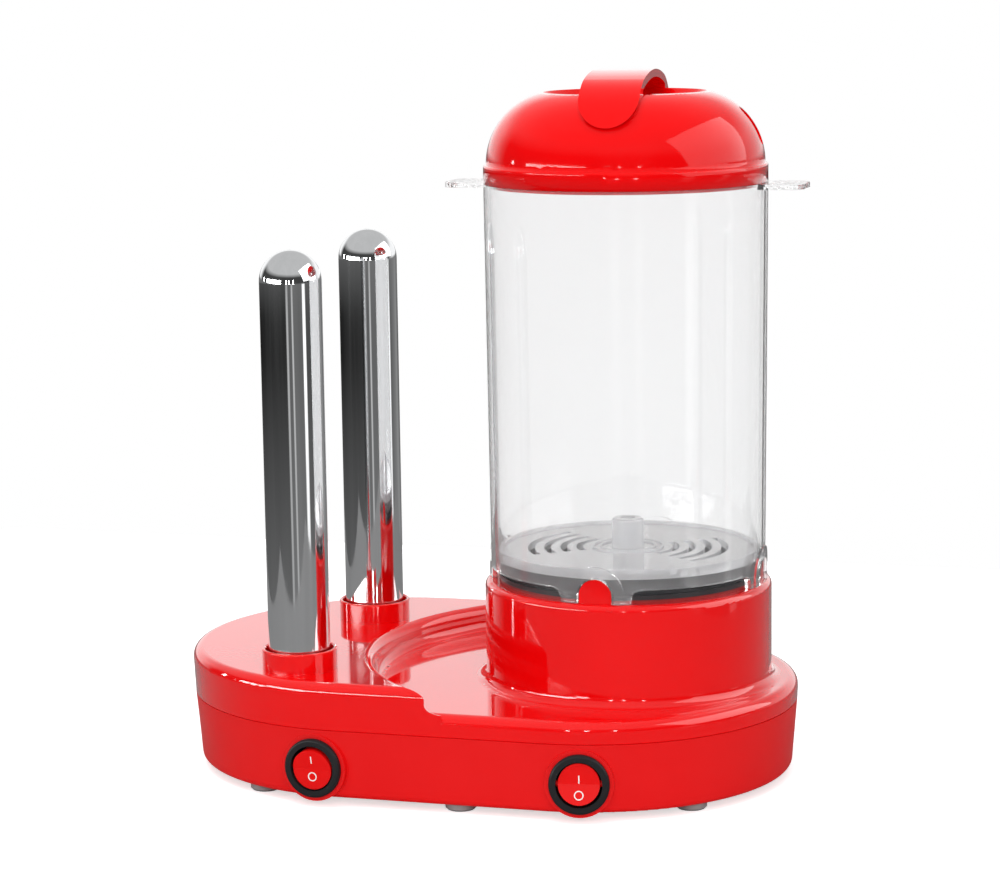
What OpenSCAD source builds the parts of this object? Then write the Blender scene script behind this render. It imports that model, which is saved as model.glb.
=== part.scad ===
// Table-top hot dog steamer with two heated bun spikes.
// Oval two-part housing, clear steam tube on a drum over a water pan, slotted sausage tray and domed lid.

/* [Base housing] */
// Length of the oval base along X
base_len = 245; // [230:1:270]
// Depth of the oval base along Y
base_dep = 162; // [156:0.5:166]
// Height of the rubber feet
foot_h = 3; // [2:0.5:5]
// Height of the joint line between the lower and the upper housing
seam_z = 30; // [29:0.5:34]
// Height of the raised deck that carries the spikes
deck_z = 48.3; // [47.5:0.1:50]
// Height of the sunken floor round the drum
floor_z = 38.7; // [38.2:0.1:39.2]
// Wall thickness of the moulded housings
wall = 2.4; // [2:0.1:2.8]
// Inward lean of the lower housing's wall from top to bottom
draft = 2; // [1:0.25:2.5]
// Outward lean of the upper housing's lip
lip_out = 0.6; // [0.2:0.1:1]
// Rounding of the deck's edge and of the step
edge_r = 4; // [3:0.25:4.25]
// Rounding of the lower housing's bottom edge
bottom_r = 2.5; // [1.5:0.25:3]

/* [Drum and step] */
// Distance of the drum's axis from the middle of the base
drum_x = 56; // [52:1:58]
// Outer radius of the drum
drum_r = 56.5; // [56:0.25:58]
// Height of the drum's top face
drum_top = 78.2; // [74:0.1:84]
// Rounding of the drum's shoulder
drum_edge = 2.5; // [1.5:0.25:2.5]
// Cove round the drum's foot
drum_cove = 4; // [2:0.25:4.5]
// Reach of the step wall, which is round the drum's axis, past the base's half depth
step_over = 20; // [18:0.5:22]
// Radius of the opening in the drum's top
mouth_r = 48; // [46:0.5:48]
// Half width of the locating lugs on the drum's top
lug_r = 6.3; // [5:0.1:7]
// Height of the lug's arc centre over the drum's top
lug_rise = 3.1; // [2:0.1:4]

/* [Steam tube] */
// Outer radius of the clear tube at its foot
tube_foot_r = 53.9; // [53.4:0.1:54]
// Outer radius of the clear tube at its top
tube_top_r = 55.1; // [54.5:0.1:56]
// Height of the clear tube
tube_h = 155.6; // [140:1:170]
// Wall thickness of the clear tube
tube_wall = 2.4; // [2.2:0.1:2.6]
// Width of each foot of the clear tube
tube_foot_w = 27; // [25:0.5:32]
// Height of the tube's edge between its feet over the feet's soles
tube_edge_rise = 5.3; // [4:0.1:7]
// Radius of the thick rim round each notch
notch_rim_r = 11.4; // [9:0.1:12]
// Reach of the lifting ears from the tube's axis
ear_reach = 71; // [68:1:78]
// Width of the lifting ears
ear_w = 22; // [18:1:28]
// Thickness of the lifting ears
ear_t = 2; // [1.5:0.25:3]

/* [Tray] */
// Height of the sausage tray's upper face over the drum's top
tray_rise = 12.3; // [11.5:0.1:14]
// Thickness of the sausage tray
tray_t = 3; // [2.5:0.1:3.2]
// Outer radius of the lifting post
post_r = 6.3; // [5:0.1:8]
// Height of the lifting post
post_h = 11.5; // [8:0.5:14]
// Bore of the lifting post
post_bore = 6; // [4:0.5:8]
// Radius of the innermost ring of slots
slot_r = 19; // [18:0.5:20]
// Distance from ring to ring of slots
slot_pitch = 6.4; // [5.8:0.1:6.8]
// Width of the slots
slot_w = 2.8; // [2:0.1:3.2]
// Rings of slots
slot_rings = 4; // [2:1:4]
// Half angle of each group of slots
slot_half_angle = 38; // [30:1:50]

/* [Lid] */
// Height of the lid's rim
rim_h = 7; // [6:0.25:9]
// Radius of the dome's shoulder arc
dome_r = 28.2; // [27:0.2:30]
// Width of the ledge between the lid's rim and its dome
dome_ledge = 1.1; // [0.9:0.1:1.8]
// Reach of the finger recess in the lid's top past the centre of the shoulder arc
recess_over = 5.8; // [4:0.2:7]
// Depth of the finger recess under the arc's crest
recess_d = 9; // [7:0.5:11]
// Wall thickness of the lid
lid_wall = 2.4; // [2:0.1:2.8]
// Width of the strap handle
strap_w = 23; // [18:1:26]
// Thickness of the strap handle
strap_t = 3; // [2.5:0.25:3.25]
// Height of the strap's top over the lid's rim
strap_top = 36; // [35.5:0.25:37]
// Turn of the loose lid on the tube
lid_turn = 5.5; // [-10:0.5:10]
// Length of the oval steam vent
vent_len = 17; // [12:1:18]
// Width of the oval steam vent
vent_w = 8; // [5:0.5:10]

/* [Spikes] */
// Distance of the spikes' row from the step wall
spike_step = 17.25; // [16.5:0.25:20]
// Distance of the spikes' middle from the drum's axis towards the front
spike_front = 10; // [0:0.5:11]
// Distance from spike to spike
spike_pitch = 92; // [86:1:94]
// Radius of the spikes
spike_r = 12; // [10:0.5:12.5]
// Height of the spikes' tips over the deck
spike_h = 163; // [140:1:180]
// Wall thickness of the spikes
spike_wall = 1.2; // [1:0.1:1.6]
// Outer radius of the collars
collar_r = 14.6; // [14.5:0.1:16]
// Height of the collars over the deck
collar_h = 8; // [6:0.5:11]

/* [Switches] */
// Height of the switches
switch_z = 15.2; // [15:0.1:16]
// Angle of the bun switch from straight ahead, about the middle of the oval's left end
bun_switch_az = 5; // [0:0.2:16]
// Angle of the steam switch from straight ahead, about the middle of the oval's right end
steam_switch_az = 10.4; // [0:0.2:16]
// Radius of the switch bezel
bezel_r = 11.5; // [11.5:0.1:12]
// Thickness of the switch bezel
bezel_t = 2; // [1.5:0.25:2.5]
// Radius of the switch body behind the bezel
switch_body_r = 10; // [9.9:0.1:10.3]
// Depth of the switch body behind the pad
switch_depth = 18; // [15:1:22]
// Radius of the rocker
rocker_r = 7.9; // [7.5:0.1:7.9]
// Swing of the rocker from its middle to each stop
rocker_swing = 7; // [5:0.5:7]
// Radius of the rocker's pivot pins
pivot_r = 1.2; // [1:0.1:1.4]

/* [Fits] */
// Gap between pieces that lift apart
lift_gap = 0.2; // [0.1:0.05:0.3]
// Side gap between the tray, lid spigot or pan and the clear tube
side_gap = 0.5; // [0.4:0.05:0.6]
// Gap between fixed pieces pushed into each other
push_gap = 0.1; // [0.05:0.05:0.2]
// Running clearance of the rocker's pivot pins
pivot_gap = 0.05; // [0.02:0.01:0.08]
// Radius of the shank of the self-tapping screws
screw_r = 1.5; // [1.25:0.05:1.75]
// Radius of the screw heads
head_r = 3; // [2.75:0.05:3.2]
// Thickness of the screw heads
head_t = 2; // [1.5:0.1:2.4]

/* [Hidden] */
$fn = 96;
eps = 0.5;

// Oval with round ends and straight sides
end_r = base_dep / 2;
oval_c = base_len / 2 - end_r;

// Reach of the upper housing's leaning wall past the oval at height z, over the shadow groove at the seam
groove = 0.4;
lip_rise = 1;
function lip_at(z) = lip_out * (z - seam_z - groove) / (deck_z - edge_r - lip_rise - seam_z - groove);

// Step wall about the drum's axis, and the spikes' distance from the middle of the base
step_r = end_r + step_over;
spike_x = step_r - drum_x + spike_step;

// The origin lies under the middle of the whole object, ears included
mid_x = (drum_x + ear_reach - base_len / 2 - lip_out) / 2;

// Lower housing
floor_top = foot_h + wall;
lower_inset = draft + wall;
tongue_h = 2;
tongue_t = 1.2;
boss_r = 4.2;
screw_hole = screw_r + push_gap;
head_hole = head_r + 0.4;
screw_seat = foot_h + 5;
screw_ring = end_r - lower_inset - boss_r - 1;
screw_spots = [for (s = [-1, 1], p = [[-oval_c - screw_ring * cos(35), screw_ring * sin(35)],
    [oval_c + screw_ring * cos(53), screw_ring * sin(53)]]) [p[0], s * p[1]]];
foot_r = 6;
stem_r = 2.4;
foot_ring = end_r - draft - bottom_r - foot_r - 0.25;
foot_spots = [for (s = [-1, 1], p = [[-oval_c - foot_ring * cos(61), foot_ring * sin(61)], [7, foot_ring],
    [oval_c + foot_ring * cos(44), foot_ring * sin(44)]]) [p[0], s * p[1]]];
pad_margin = 1.6;
pad_face = end_r + 0.2;
pad_depth = 6;

// Drum, pan and heater
drum_in = drum_r - wall;
drum_plate = drum_top - wall;
seal_t = 1.2;
pan_wall = 1.6;
pan_cup_r = mouth_r - 4 * push_gap;
pan_depth = 16;
pan_floor = drum_top - pan_depth;
pan_base = pan_floor - 2;
tube_sole = drum_top + lift_gap;
tube_in_foot = tube_foot_r - tube_wall;
pan_flange_r = tube_in_foot - side_gap;
pan_flange_t = 1.8;
pan_rim = drum_top + tray_rise - tray_t - lift_gap;
ring_nut_h = 3;
ring_nut_r = drum_in - 1.6;
heater_r = 32;
heater_tube_r = 3.3;
heater_z = pan_base - heater_tube_r;
plate_top = heater_z - heater_tube_r;
plate_t = 1.2;
plate_r = 38;
plate_bottom = plate_top - plate_t;
pan_boss_r = 6;

// Clear tube, tray and lid heights
tube_top = tube_sole + tube_h;
tube_in_top = tube_top_r - tube_wall;
lug_z = drum_top + lug_rise;
lug_in = tube_in_foot + 0.3;
lug_out = tube_foot_r - 0.3;
notch_r = lug_r + side_gap;
rim_proud = 0.9;
tray_r = tube_in_foot - side_gap;
tray_top = drum_top + tray_rise;
lid_z = tube_top + lift_gap;
dome_z = lid_z + rim_h;
spigot_r = tube_in_top - side_gap;
spigot_t = 2.2;
spigot_h = 6;
dome_c = tube_top_r - dome_ledge - dome_r;
recess_r = dome_c + recess_over;
recess_z = dome_z + dome_r - recess_d;

// Strap handle made of three tangent arcs
strap_side_c = dome_c - 3.8;
strap_side_z = dome_z + 2;
strap_side_r = dome_r + 3.6;
strap_rise = lid_z + strap_top + rim_h - strap_side_z;
strap_top_r = (strap_side_c * strap_side_c + strap_rise * strap_rise - strap_side_r * strap_side_r)
    / (2 * (strap_rise - strap_side_r));
strap_foot_z = dome_z + 16;
seat_gap = 0.05;
peg_tilt = 48;
peg_r = 2;
clip_r = 4.5;
clip_t = 1;
clip_seat = sqrt(pow(dome_r - lid_wall, 2) - pow(clip_r, 2)) - seat_gap;
peg_end = clip_seat - clip_t - 1;

// Spikes
deck_under = deck_z - wall;
flange_t = 2.8;
flange_r = collar_r;
spike_foot = deck_under - flange_t;
spike_top = deck_z + spike_h;
collar_wall = 1.3;
collar_web = 2;
clamp_t = 1.6;
clamp_w = 2 * (spike_step - wall - 0.6);
clamp_screw_y = 20;
heater_rod_r = 5;
heater_rod_h = 125;
plug_h = 7;
lead_hole_r = 6;

// Switches
opening_r = rocker_r + 0.9;
pivot_z = -1.5;
pivot_reach = switch_body_r - 0.3;
rocker_deep = 5;
rocker_face = 1.3;
rocker_end = 2.1;
well_depth = 9;
blade = [0.8, 6.3, 8];
blade_pitch = 5.2;

// Mains entry
cord_x = 0;
cord_bore_r = 3.4;
cord_sleeve_r = 5;
cord_flange_r = 7.5;
cord_flange_t = 1.2;
front_reach = max([for (az = [bun_switch_az, steam_switch_az])
    1 + (pad_face + bezel_t - 1) * cos(az) + (bezel_r - 1) * sin(az)]);
cord_pad_face = front_reach - cord_flange_t;
cord_pad_r = cord_flange_r + 1.2;

RED = "#e00808";
DARK = "#1d1d1f";
STEEL = "#c9ccd0";
BRASS = "#c8a24a";
CREAM = "#e9e2cf";

// Moves a piece from the middle of the base to the origin
module placed() {
    translate([-mid_x, 0, 0]) children();
}

// Straight-walled oval, moved in or out by off
module oval_block(off, z0, z1) {
    translate([0, 0, z0]) linear_extrude(z1 - z0) {
        for (side = [-1, 1]) translate([side * oval_c, 0]) circle(end_r + off);
        translate([-oval_c, -end_r - off]) square([2 * oval_c, 2 * (end_r + off)]);
    }
}

// Oval body with the children's half section, drawn from the middle plane outwards
module oval_sweep() {
    for (side = [0, 180]) rotate(side) translate([oval_c, 0, 0]) rotate(-90) rotate_extrude(angle = 180)
        intersection() {
            children();
            translate([0, 0]) square([2 * base_len, 2 * deck_z]);
        }
    rotate([90, 0, 90]) linear_extrude(2 * oval_c, center = true) {
        children();
        mirror([1, 0]) children();
    }
}

// Half section of the lower housing
module lower_section() {
    foot = end_r - draft;
    polygon([[-1, foot_h], [foot - bottom_r, foot_h], [foot, foot_h + bottom_r], [end_r, seam_z], [-1, seam_z]]);
    translate([foot - bottom_r, foot_h + bottom_r]) circle(bottom_r);
}

// Half section of the upper housing with its rounded edge at height top
module upper_section(top) {
    lip = end_r + lip_at(top - edge_r - lip_rise);
    polygon([[-1, seam_z], [end_r - groove, seam_z], [end_r, seam_z + groove], [lip, top - edge_r - lip_rise],
        [lip, top - edge_r], [lip - edge_r, top], [-1, top]]);
    translate([lip - edge_r, top - edge_r]) circle(edge_r);
}

function switch_turn(side) = side < 0 ? -bun_switch_az : steam_switch_az;

// Frame of a switch: z points out of the wall, y is up; side is -1 for the left one and 1 for the right one
module at_switch(side) {
    translate([side * oval_c, 0, switch_z]) rotate(switch_turn(side)) translate([0, -pad_face, 0])
        rotate([90, 0, 0]) children();
}

module at_spike(row) {
    translate([-spike_x, row * spike_pitch / 2 - spike_front, 0]) children();
}

module at_drum() {
    translate([drum_x, 0, 0]) children();
}

module ring(r_out, r_in, z0, z1) {
    difference() {
        translate([0, 0, z0]) cylinder(r = r_out, h = z1 - z0);
        translate([0, 0, z0 - eps]) cylinder(r = r_in, h = z1 - z0 + 2 * eps);
    }
}

// Pan-head screw pointing up, with its head's underside at z
module screw(z, shank) {
    translate([0, 0, z - head_t]) cylinder(r = head_r, h = head_t);
    translate([0, 0, z]) cylinder(r = screw_r, h = shank);
}

module lower_housing() {
    color(RED) difference() {
        union() {
            difference() {
                union() {
                    oval_sweep() lower_section();
                    for (side = [-1, 1]) at_switch(side)
                        translate([0, 0, -pad_depth]) cylinder(r = bezel_r + pad_margin, h = pad_depth);
                    translate([cord_x, cord_pad_face - pad_depth, switch_z]) rotate([-90, 0, 0])
                        cylinder(r = cord_pad_r, h = pad_depth);
                }
                difference() {
                    oval_block(-lower_inset, floor_top, seam_z + eps);
                    for (side = [-1, 1]) at_switch(side)
                        translate([0, 0, -pad_depth]) cylinder(r = bezel_r + pad_margin, h = pad_depth);
                    translate([cord_x, cord_pad_face - pad_depth, switch_z]) rotate([-90, 0, 0])
                        cylinder(r = cord_pad_r, h = pad_depth);
                }
            }
            for (p = screw_spots) translate([p[0], p[1], foot_h]) cylinder(r = boss_r, h = seam_z - foot_h);
            difference() {
                oval_block(-wall - 2 * push_gap, seam_z - wall, seam_z + tongue_h);
                oval_block(-wall - 2 * push_gap - tongue_t, seam_z - wall - eps, seam_z + tongue_h + eps);
            }
        }
        for (p = screw_spots) translate([p[0], p[1], 0]) {
            cylinder(r = head_hole, h = screw_seat);
            cylinder(r = screw_hole, h = seam_z + eps);
        }
        for (p = foot_spots) translate([p[0], p[1], 0]) cylinder(r = stem_r + push_gap, h = floor_top + eps);
        for (side = [-1, 1]) at_switch(side) translate([0, 0, -switch_depth - 1])
            cylinder(r = switch_body_r + push_gap, h = switch_depth + 1 + eps);
        translate([cord_x, cord_pad_face - pad_depth - eps, switch_z]) rotate([-90, 0, 0])
            cylinder(r = cord_sleeve_r + push_gap, h = pad_depth + 2 * eps);
    }
}

// Space over the sunken floor: rounded lip at the deck, cove at the floor
module step_cut() {
    clear_top = deck_z + 2 * edge_r;
    at_drum() rotate_extrude() difference() {
        union() {
            translate([0, seam_z - eps]) square([step_r - edge_r, clear_top - seam_z + eps]);
            translate([0, floor_z]) square([step_r, clear_top - floor_z]);
            translate([0, deck_z - edge_r]) square([step_r + edge_r, clear_top - deck_z + edge_r]);
        }
        difference() {
            translate([step_r - edge_r, floor_z]) square(edge_r);
            translate([step_r - edge_r, floor_z + edge_r]) circle(edge_r);
        }
        translate([step_r + edge_r, deck_z - edge_r]) circle(edge_r);
    }
}

module drum_shell() {
    at_drum() rotate_extrude() difference() {
        union() {
            translate([mouth_r, drum_plate]) square([drum_r - drum_edge - mouth_r, wall]);
            translate([drum_in, floor_z - wall]) square([wall, drum_top - drum_edge - floor_z + wall]);
            intersection() {
                translate([drum_r - drum_edge, drum_top - drum_edge]) circle(drum_edge);
                translate([drum_r - drum_edge, drum_top - drum_edge]) square(drum_edge);
            }
            translate([drum_in, floor_z - wall]) square([wall + drum_cove, wall + drum_cove]);
        }
        translate([drum_r + drum_cove, floor_z + drum_cove]) circle(drum_cove);
    }
}

// Arched tab profile, standing up from height z0
module arch(r, z0) {
    translate([0, lug_z]) circle(r);
    translate([-r, z0]) square([2 * r, lug_z - z0]);
}

// The same upright profile at the four quarters of the drum, as radial bars
module four_ways(reach) {
    for (a = [0 : 90 : 270]) at_drum() rotate(a) rotate([90, 0, 0]) linear_extrude(reach) children();
}

module upper_housing() {
    color(RED) difference() {
        union() {
            difference() {
                union() {
                    intersection() {
                        oval_sweep() upper_section(floor_z);
                        at_drum() translate([0, 0, seam_z - eps])
                            cylinder(r = step_r - edge_r, h = floor_z - seam_z + 2 * eps);
                    }
                    difference() {
                        oval_sweep() upper_section(deck_z);
                        step_cut();
                    }
                }
                oval_block(-wall, seam_z - eps, floor_z - wall);
                difference() {
                    oval_block(-wall, seam_z - eps, deck_under);
                    at_drum() translate([0, 0, seam_z - 2 * eps]) cylinder(r = step_r + wall, h = deck_z - seam_z);
                }
                at_drum() translate([0, 0, seam_z - eps]) cylinder(r = drum_in + eps, h = deck_z);
            }
            drum_shell();
            intersection() {
                at_drum() ring(lug_out, lug_in, drum_plate + eps, lug_z + 2 * lug_r);
                four_ways(drum_r) arch(lug_r, drum_plate);
            }
            for (p = screw_spots) translate([p[0], p[1], seam_z])
                cylinder(r = boss_r, h = (p[0] < 0 ? deck_under : floor_z - wall) - seam_z + eps);
            for (s = [-1, 1]) translate([-spike_x, s * clamp_screw_y - spike_front, spike_foot])
                cylinder(r = boss_r, h = deck_under - spike_foot + eps);
        }
        for (p = screw_spots) translate([p[0], p[1], seam_z - eps]) cylinder(r = screw_hole, h = 5 + eps);
        for (s = [-1, 1]) translate([-spike_x, s * clamp_screw_y - spike_front, spike_foot - eps])
            cylinder(r = screw_hole, h = 4 + eps);
        for (row = [-1, 1]) at_spike(row) translate([0, 0, deck_under - eps])
            cylinder(r = spike_r + 2 * push_gap, h = wall + 2 * eps);
    }
}

module rubber_feet() {
    color(DARK) for (p = foot_spots) translate([p[0], p[1], 0]) {
        rotate_extrude() {
            polygon([[0, 0], [foot_r - 0.8, 0], [foot_r, 0.8], [foot_r, foot_h], [0, foot_h]]);
            translate([0, foot_h]) square([stem_r, wall + 1]);
        }
    }
}

module housing_screws() {
    color(STEEL) for (p = screw_spots) translate([p[0], p[1], 0]) screw(screw_seat, seam_z + 4.5 - screw_seat);
}

module cord_grommet() {
    color(DARK) translate([cord_x, cord_pad_face, switch_z]) rotate([90, 0, 0]) difference() {
        union() {
            translate([0, 0, -cord_flange_t]) cylinder(r = cord_flange_r, h = cord_flange_t);
            cylinder(r = cord_sleeve_r, h = pad_depth + 2);
        }
        translate([0, 0, -2 * cord_flange_t]) cylinder(r = cord_bore_r, h = pad_depth + 2 + 4 * cord_flange_t);
    }
}

block_at = [-12, 40];
block_size = [32, 17, 12];
module terminal_block() {
    color(CREAM) translate([block_at[0], block_at[1], floor_top]) difference() {
        union() {
            translate([-block_size[0] / 2, -block_size[1] / 2, 0]) cube([block_size[0], block_size[1], 4]);
            for (i = [-1, 0, 1]) translate([i * 10 - 4, -block_size[1] / 2 + 2, 0]) cube([8, 13, block_size[2]]);
        }
        for (i = [-1, 0, 1]) translate([i * 10, 0, 7.5]) rotate([90, 0, 0])
            cylinder(r = 2.2, h = 2 * block_size[1], center = true);
        for (s = [-1, 1]) translate([s * 5, 0, -eps]) cylinder(r = 0.8, h = 6);
    }
}

module terminal_block_screw() {
    color(STEEL) for (s = [-1, 1]) translate([block_at[0] + s * 5, block_at[1], floor_top]) cylinder(r = 0.7, h = 4.6);
}

module switch_body(side) {
    color(DARK) at_switch(side) difference() {
        union() {
            translate([0, 0, -switch_depth]) cylinder(r = switch_body_r, h = switch_depth);
            rotate_extrude() {
                square([bezel_r, bezel_t - 1]);
                square([bezel_r - 1, bezel_t]);
                translate([bezel_r - 1, bezel_t - 1]) circle(1);
            }
        }
        translate([0, 0, -well_depth]) cylinder(r = opening_r, h = well_depth + bezel_t + eps);
        translate([0, 0, pivot_z]) rotate([0, 90, 0])
            cylinder(r = pivot_r + pivot_gap, h = 2 * pivot_reach + 0.2, center = true);
    }
}

// Rocker tipped by tilt about its pivot pins
module switch_rocker(side, tilt) {
    color(RED) at_switch(side) translate([0, 0, pivot_z]) rotate([tilt, 0, 0]) translate([0, 0, -pivot_z]) {
        intersection() {
            translate([0, 0, -rocker_deep]) cylinder(r = rocker_r, h = rocker_deep + 2 * rocker_end);
            rotate([90, 0, 90]) linear_extrude(4 * rocker_r, center = true) polygon([
                [-2 * rocker_r, -rocker_deep], [2 * rocker_r, -rocker_deep],
                [2 * rocker_r, 2 * rocker_end - rocker_face], [0, rocker_face],
                [-2 * rocker_r, 2 * rocker_end - rocker_face]]);
        }
        translate([0, 0, pivot_z]) rotate([0, 90, 0]) cylinder(r = pivot_r, h = 2 * pivot_reach, center = true);
    }
}

module switch_terminals(side) {
    color(BRASS) at_switch(side) for (i = [-1, 0, 1])
        translate([-blade[0] / 2, i * blade_pitch - blade[1] / 2 * 0.6, -switch_depth - blade[2]])
            cube([blade[0], blade[1] * 0.6, blade[2]]);
}

module water_pan() {
    color(DARK) at_drum() difference() {
        rotate_extrude() difference() {
            union() {
                translate([0, pan_base]) square([pan_cup_r, drum_top + seal_t - pan_base]);
                translate([0, drum_top + seal_t]) square([pan_flange_r, pan_flange_t]);
                translate([0, drum_top + seal_t]) square([pan_flange_r - 0.8, pan_rim - drum_top - seal_t]);
                translate([0, plate_top]) square([pan_boss_r, pan_floor - plate_top]);
            }
            translate([0, pan_floor]) square([pan_cup_r - pan_wall, pan_rim]);
        }
        translate([0, 0, plate_top - eps]) cylinder(r = screw_hole, h = pan_floor - plate_top - 1);
    }
}

module pan_seal() {
    color("#8a1010") at_drum() ring(pan_flange_r - 0.3, mouth_r + 0.1, drum_top, drum_top + seal_t);
}

module pan_ring_nut() {
    color(STEEL) at_drum() difference() {
        ring(ring_nut_r, pan_cup_r + push_gap, drum_plate - ring_nut_h, drum_plate);
        for (a = [0 : 60 : 300]) rotate(a) translate([ring_nut_r, 0, drum_plate - ring_nut_h - eps])
            cylinder(r = 1.8, h = ring_nut_h + 2 * eps);
    }
}

module heater_ring() {
    color(STEEL) at_drum() {
        rotate(20) rotate_extrude(angle = 320) translate([heater_r, heater_z]) circle(heater_tube_r);
    }
}

module heater_clamp_plate() {
    color(STEEL) at_drum() difference() {
        translate([0, 0, plate_bottom]) cylinder(r = plate_r, h = plate_t);
        translate([0, 0, plate_bottom - eps]) cylinder(r = screw_hole, h = plate_t + 2 * eps);
        for (a = [45 : 90 : 315]) rotate(a) translate([plate_r / 2, 0, plate_bottom - eps])
            cylinder(r = 5, h = plate_t + 2 * eps);
    }
}

module heater_clamp_screw() {
    color(STEEL) at_drum() screw(plate_bottom, plate_t + 6);
}

module steam_thermostat() {
    color(CREAM) at_drum() translate([plate_r / 2, 0, plate_bottom]) {
        translate([0, 0, -8]) cylinder(r = 8, h = 8);
        for (s = [-1, 1]) translate([-0.4, s * 4 - 2, -14]) cube([0.8, 4, 6.5]);
    }
}

module thermal_fuse() {
    color(CREAM) at_drum() translate([-plate_r / 2, 0, plate_bottom - 2.1]) rotate([90, 0, 0]) {
        cylinder(r = 2, h = 12, center = true);
        cylinder(r = 0.5, h = 24, center = true);
    }
}

// Half outline of a spike, inset by in
module spike_half(in, z0) {
    shoulder = spike_top - spike_r;
    translate([0, z0]) square([spike_r - in, shoulder - z0]);
    intersection() {
        translate([0, shoulder]) circle(spike_r - in);
        translate([0, shoulder]) square(spike_r);
    }
}

module spike(row) {
    color(STEEL) at_spike(row) rotate_extrude() {
        difference() {
            spike_half(0, spike_foot);
            spike_half(spike_wall, spike_foot - eps);
        }
        translate([spike_r - spike_wall / 2, spike_foot]) square([flange_r - spike_r + spike_wall / 2, flange_t]);
    }
}

module spike_collar(row) {
    color(RED) at_spike(row) rotate_extrude() difference() {
        union() {
            translate([0, deck_z]) square([collar_r, collar_h - collar_wall / 2]);
            translate([collar_r - collar_wall / 2, deck_z + collar_h - collar_wall / 2]) circle(collar_wall / 2);
        }
        translate([0, deck_z + collar_web]) square([collar_r - collar_wall, collar_h]);
        translate([0, deck_z - eps]) square([spike_r + 2 * push_gap, collar_h]);
    }
}

module spike_heater(row) {
    color(CREAM) at_spike(row) {
        translate([0, 0, spike_foot]) cylinder(r = spike_r - spike_wall - push_gap, h = plug_h);
        translate([0, 0, spike_foot + plug_h - eps]) cylinder(r = heater_rod_r, h = heater_rod_h);
    }
}

module spike_clamp_plate() {
    color(STEEL) difference() {
        translate([-spike_x, -spike_front, spike_foot - clamp_t]) linear_extrude(clamp_t) {
            square([clamp_w, spike_pitch], center = true);
            for (row = [-1, 1]) translate([0, row * spike_pitch / 2]) circle(clamp_w / 2);
        }
        for (row = [-1, 1]) at_spike(row) translate([0, 0, spike_foot - clamp_t - eps])
            cylinder(r = lead_hole_r, h = clamp_t + 2 * eps);
        for (s = [-1, 1]) translate([-spike_x, s * clamp_screw_y - spike_front, spike_foot - clamp_t - eps])
            cylinder(r = screw_hole, h = clamp_t + 2 * eps);
    }
}

module spike_clamp_screws() {
    color(STEEL) for (s = [-1, 1]) translate([-spike_x, s * clamp_screw_y - spike_front, 0])
        screw(spike_foot - clamp_t, clamp_t + 3.5);
}

// Outline of a tube foot with hollow corners towards the tube's edge
module tube_foot_profile() {
    top = tube_sole + tube_edge_rise;
    flare = 4.5;
    half = tube_foot_w / 2;
    translate([-half, tube_sole - eps]) square([tube_foot_w, tube_edge_rise + 2 * eps]);
    difference() {
        translate([-half - flare, top - flare]) square([tube_foot_w + 2 * flare, flare + eps]);
        for (s = [-1, 1]) translate([s * (half + flare), top - flare]) circle(flare);
    }
}

module steam_tube() {
    color("#dfeaf0", 0.35) difference() {
        union() {
            at_drum() rotate_extrude() polygon([[tube_in_foot, tube_sole], [tube_foot_r, tube_sole],
                [tube_top_r, tube_top], [tube_in_top, tube_top]]);
            intersection() {
                at_drum() ring(tube_foot_r + rim_proud, tube_foot_r - tube_wall / 2, tube_sole,
                    lug_z + 2 * notch_rim_r);
                four_ways(drum_r) arch(notch_rim_r, tube_sole);
            }
            for (a = [0, 180]) at_drum() rotate(a) translate([0, 0, tube_top - ear_t]) linear_extrude(ear_t) {
                corner = 5;
                inner = tube_top_r - tube_wall / 2;
                translate([inner, -ear_w / 2]) square([ear_reach - corner - inner, ear_w]);
                translate([inner, corner - ear_w / 2]) square([ear_reach - inner, ear_w - 2 * corner]);
                for (s = [-1, 1]) translate([ear_reach - corner, s * (ear_w / 2 - corner)]) circle(corner);
            }
        }
        difference() {
            at_drum() translate([0, 0, tube_sole - eps]) cylinder(r = drum_r + eps, h = tube_edge_rise + eps);
            four_ways(2 * drum_r) tube_foot_profile();
        }
        four_ways(2 * drum_r) arch(notch_r, tube_sole - 2 * eps);
    }
}

module sausage_tray() {
    color("#e8eef2") at_drum() difference() {
        rotate_extrude() {
            translate([0, tray_top - tray_t]) square([tray_r, tray_t]);
            translate([tray_r - 1.6, tray_top]) square([1.6, 0.8]);
            for (r = [10.5, 13.5]) translate([r, tray_top]) square([0.8, 0.6]);
            translate([0, tray_top]) square([post_r - 1, post_h]);
            translate([0, tray_top]) square([post_r, post_h - 1]);
            translate([post_r - 1, tray_top + post_h - 1]) circle(1);
        }
        translate([0, 0, tray_top + 1]) cylinder(r = post_bore / 2, h = post_h + eps);
        for (side = [0, 180], i = [0 : slot_rings - 1]) rotate(side - slot_half_angle)
            translate([0, 0, tray_top - tray_t - eps]) rotate_extrude(angle = 2 * slot_half_angle)
                translate([slot_r + i * slot_pitch - slot_w / 2, 0]) square([slot_w, tray_t + 2 * eps]);
    }
}

// Frames of the two handle pegs: z points out through the lid's shoulder
module at_pegs() {
    for (a = [-90, 90]) rotate(a) translate([dome_c, 0, dome_z]) rotate([0, 90 - peg_tilt, 0]) children();
}

// Solid lid body: rim, shoulder arc and crest, grown by grow
module lid_solid(grow) {
    translate([0, lid_z]) square([tube_top_r + grow, rim_h - 1]);
    translate([0, lid_z]) square([tube_top_r - 1 + grow, rim_h]);
    translate([tube_top_r - 1 + grow, dome_z - 1]) circle(1);
    intersection() {
        translate([dome_c, dome_z]) circle(dome_r + grow);
        translate([dome_c, dome_z - eps]) square(2 * dome_r);
    }
    translate([0, dome_z - eps]) square([dome_c + eps, dome_r + grow + eps]);
}

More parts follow.
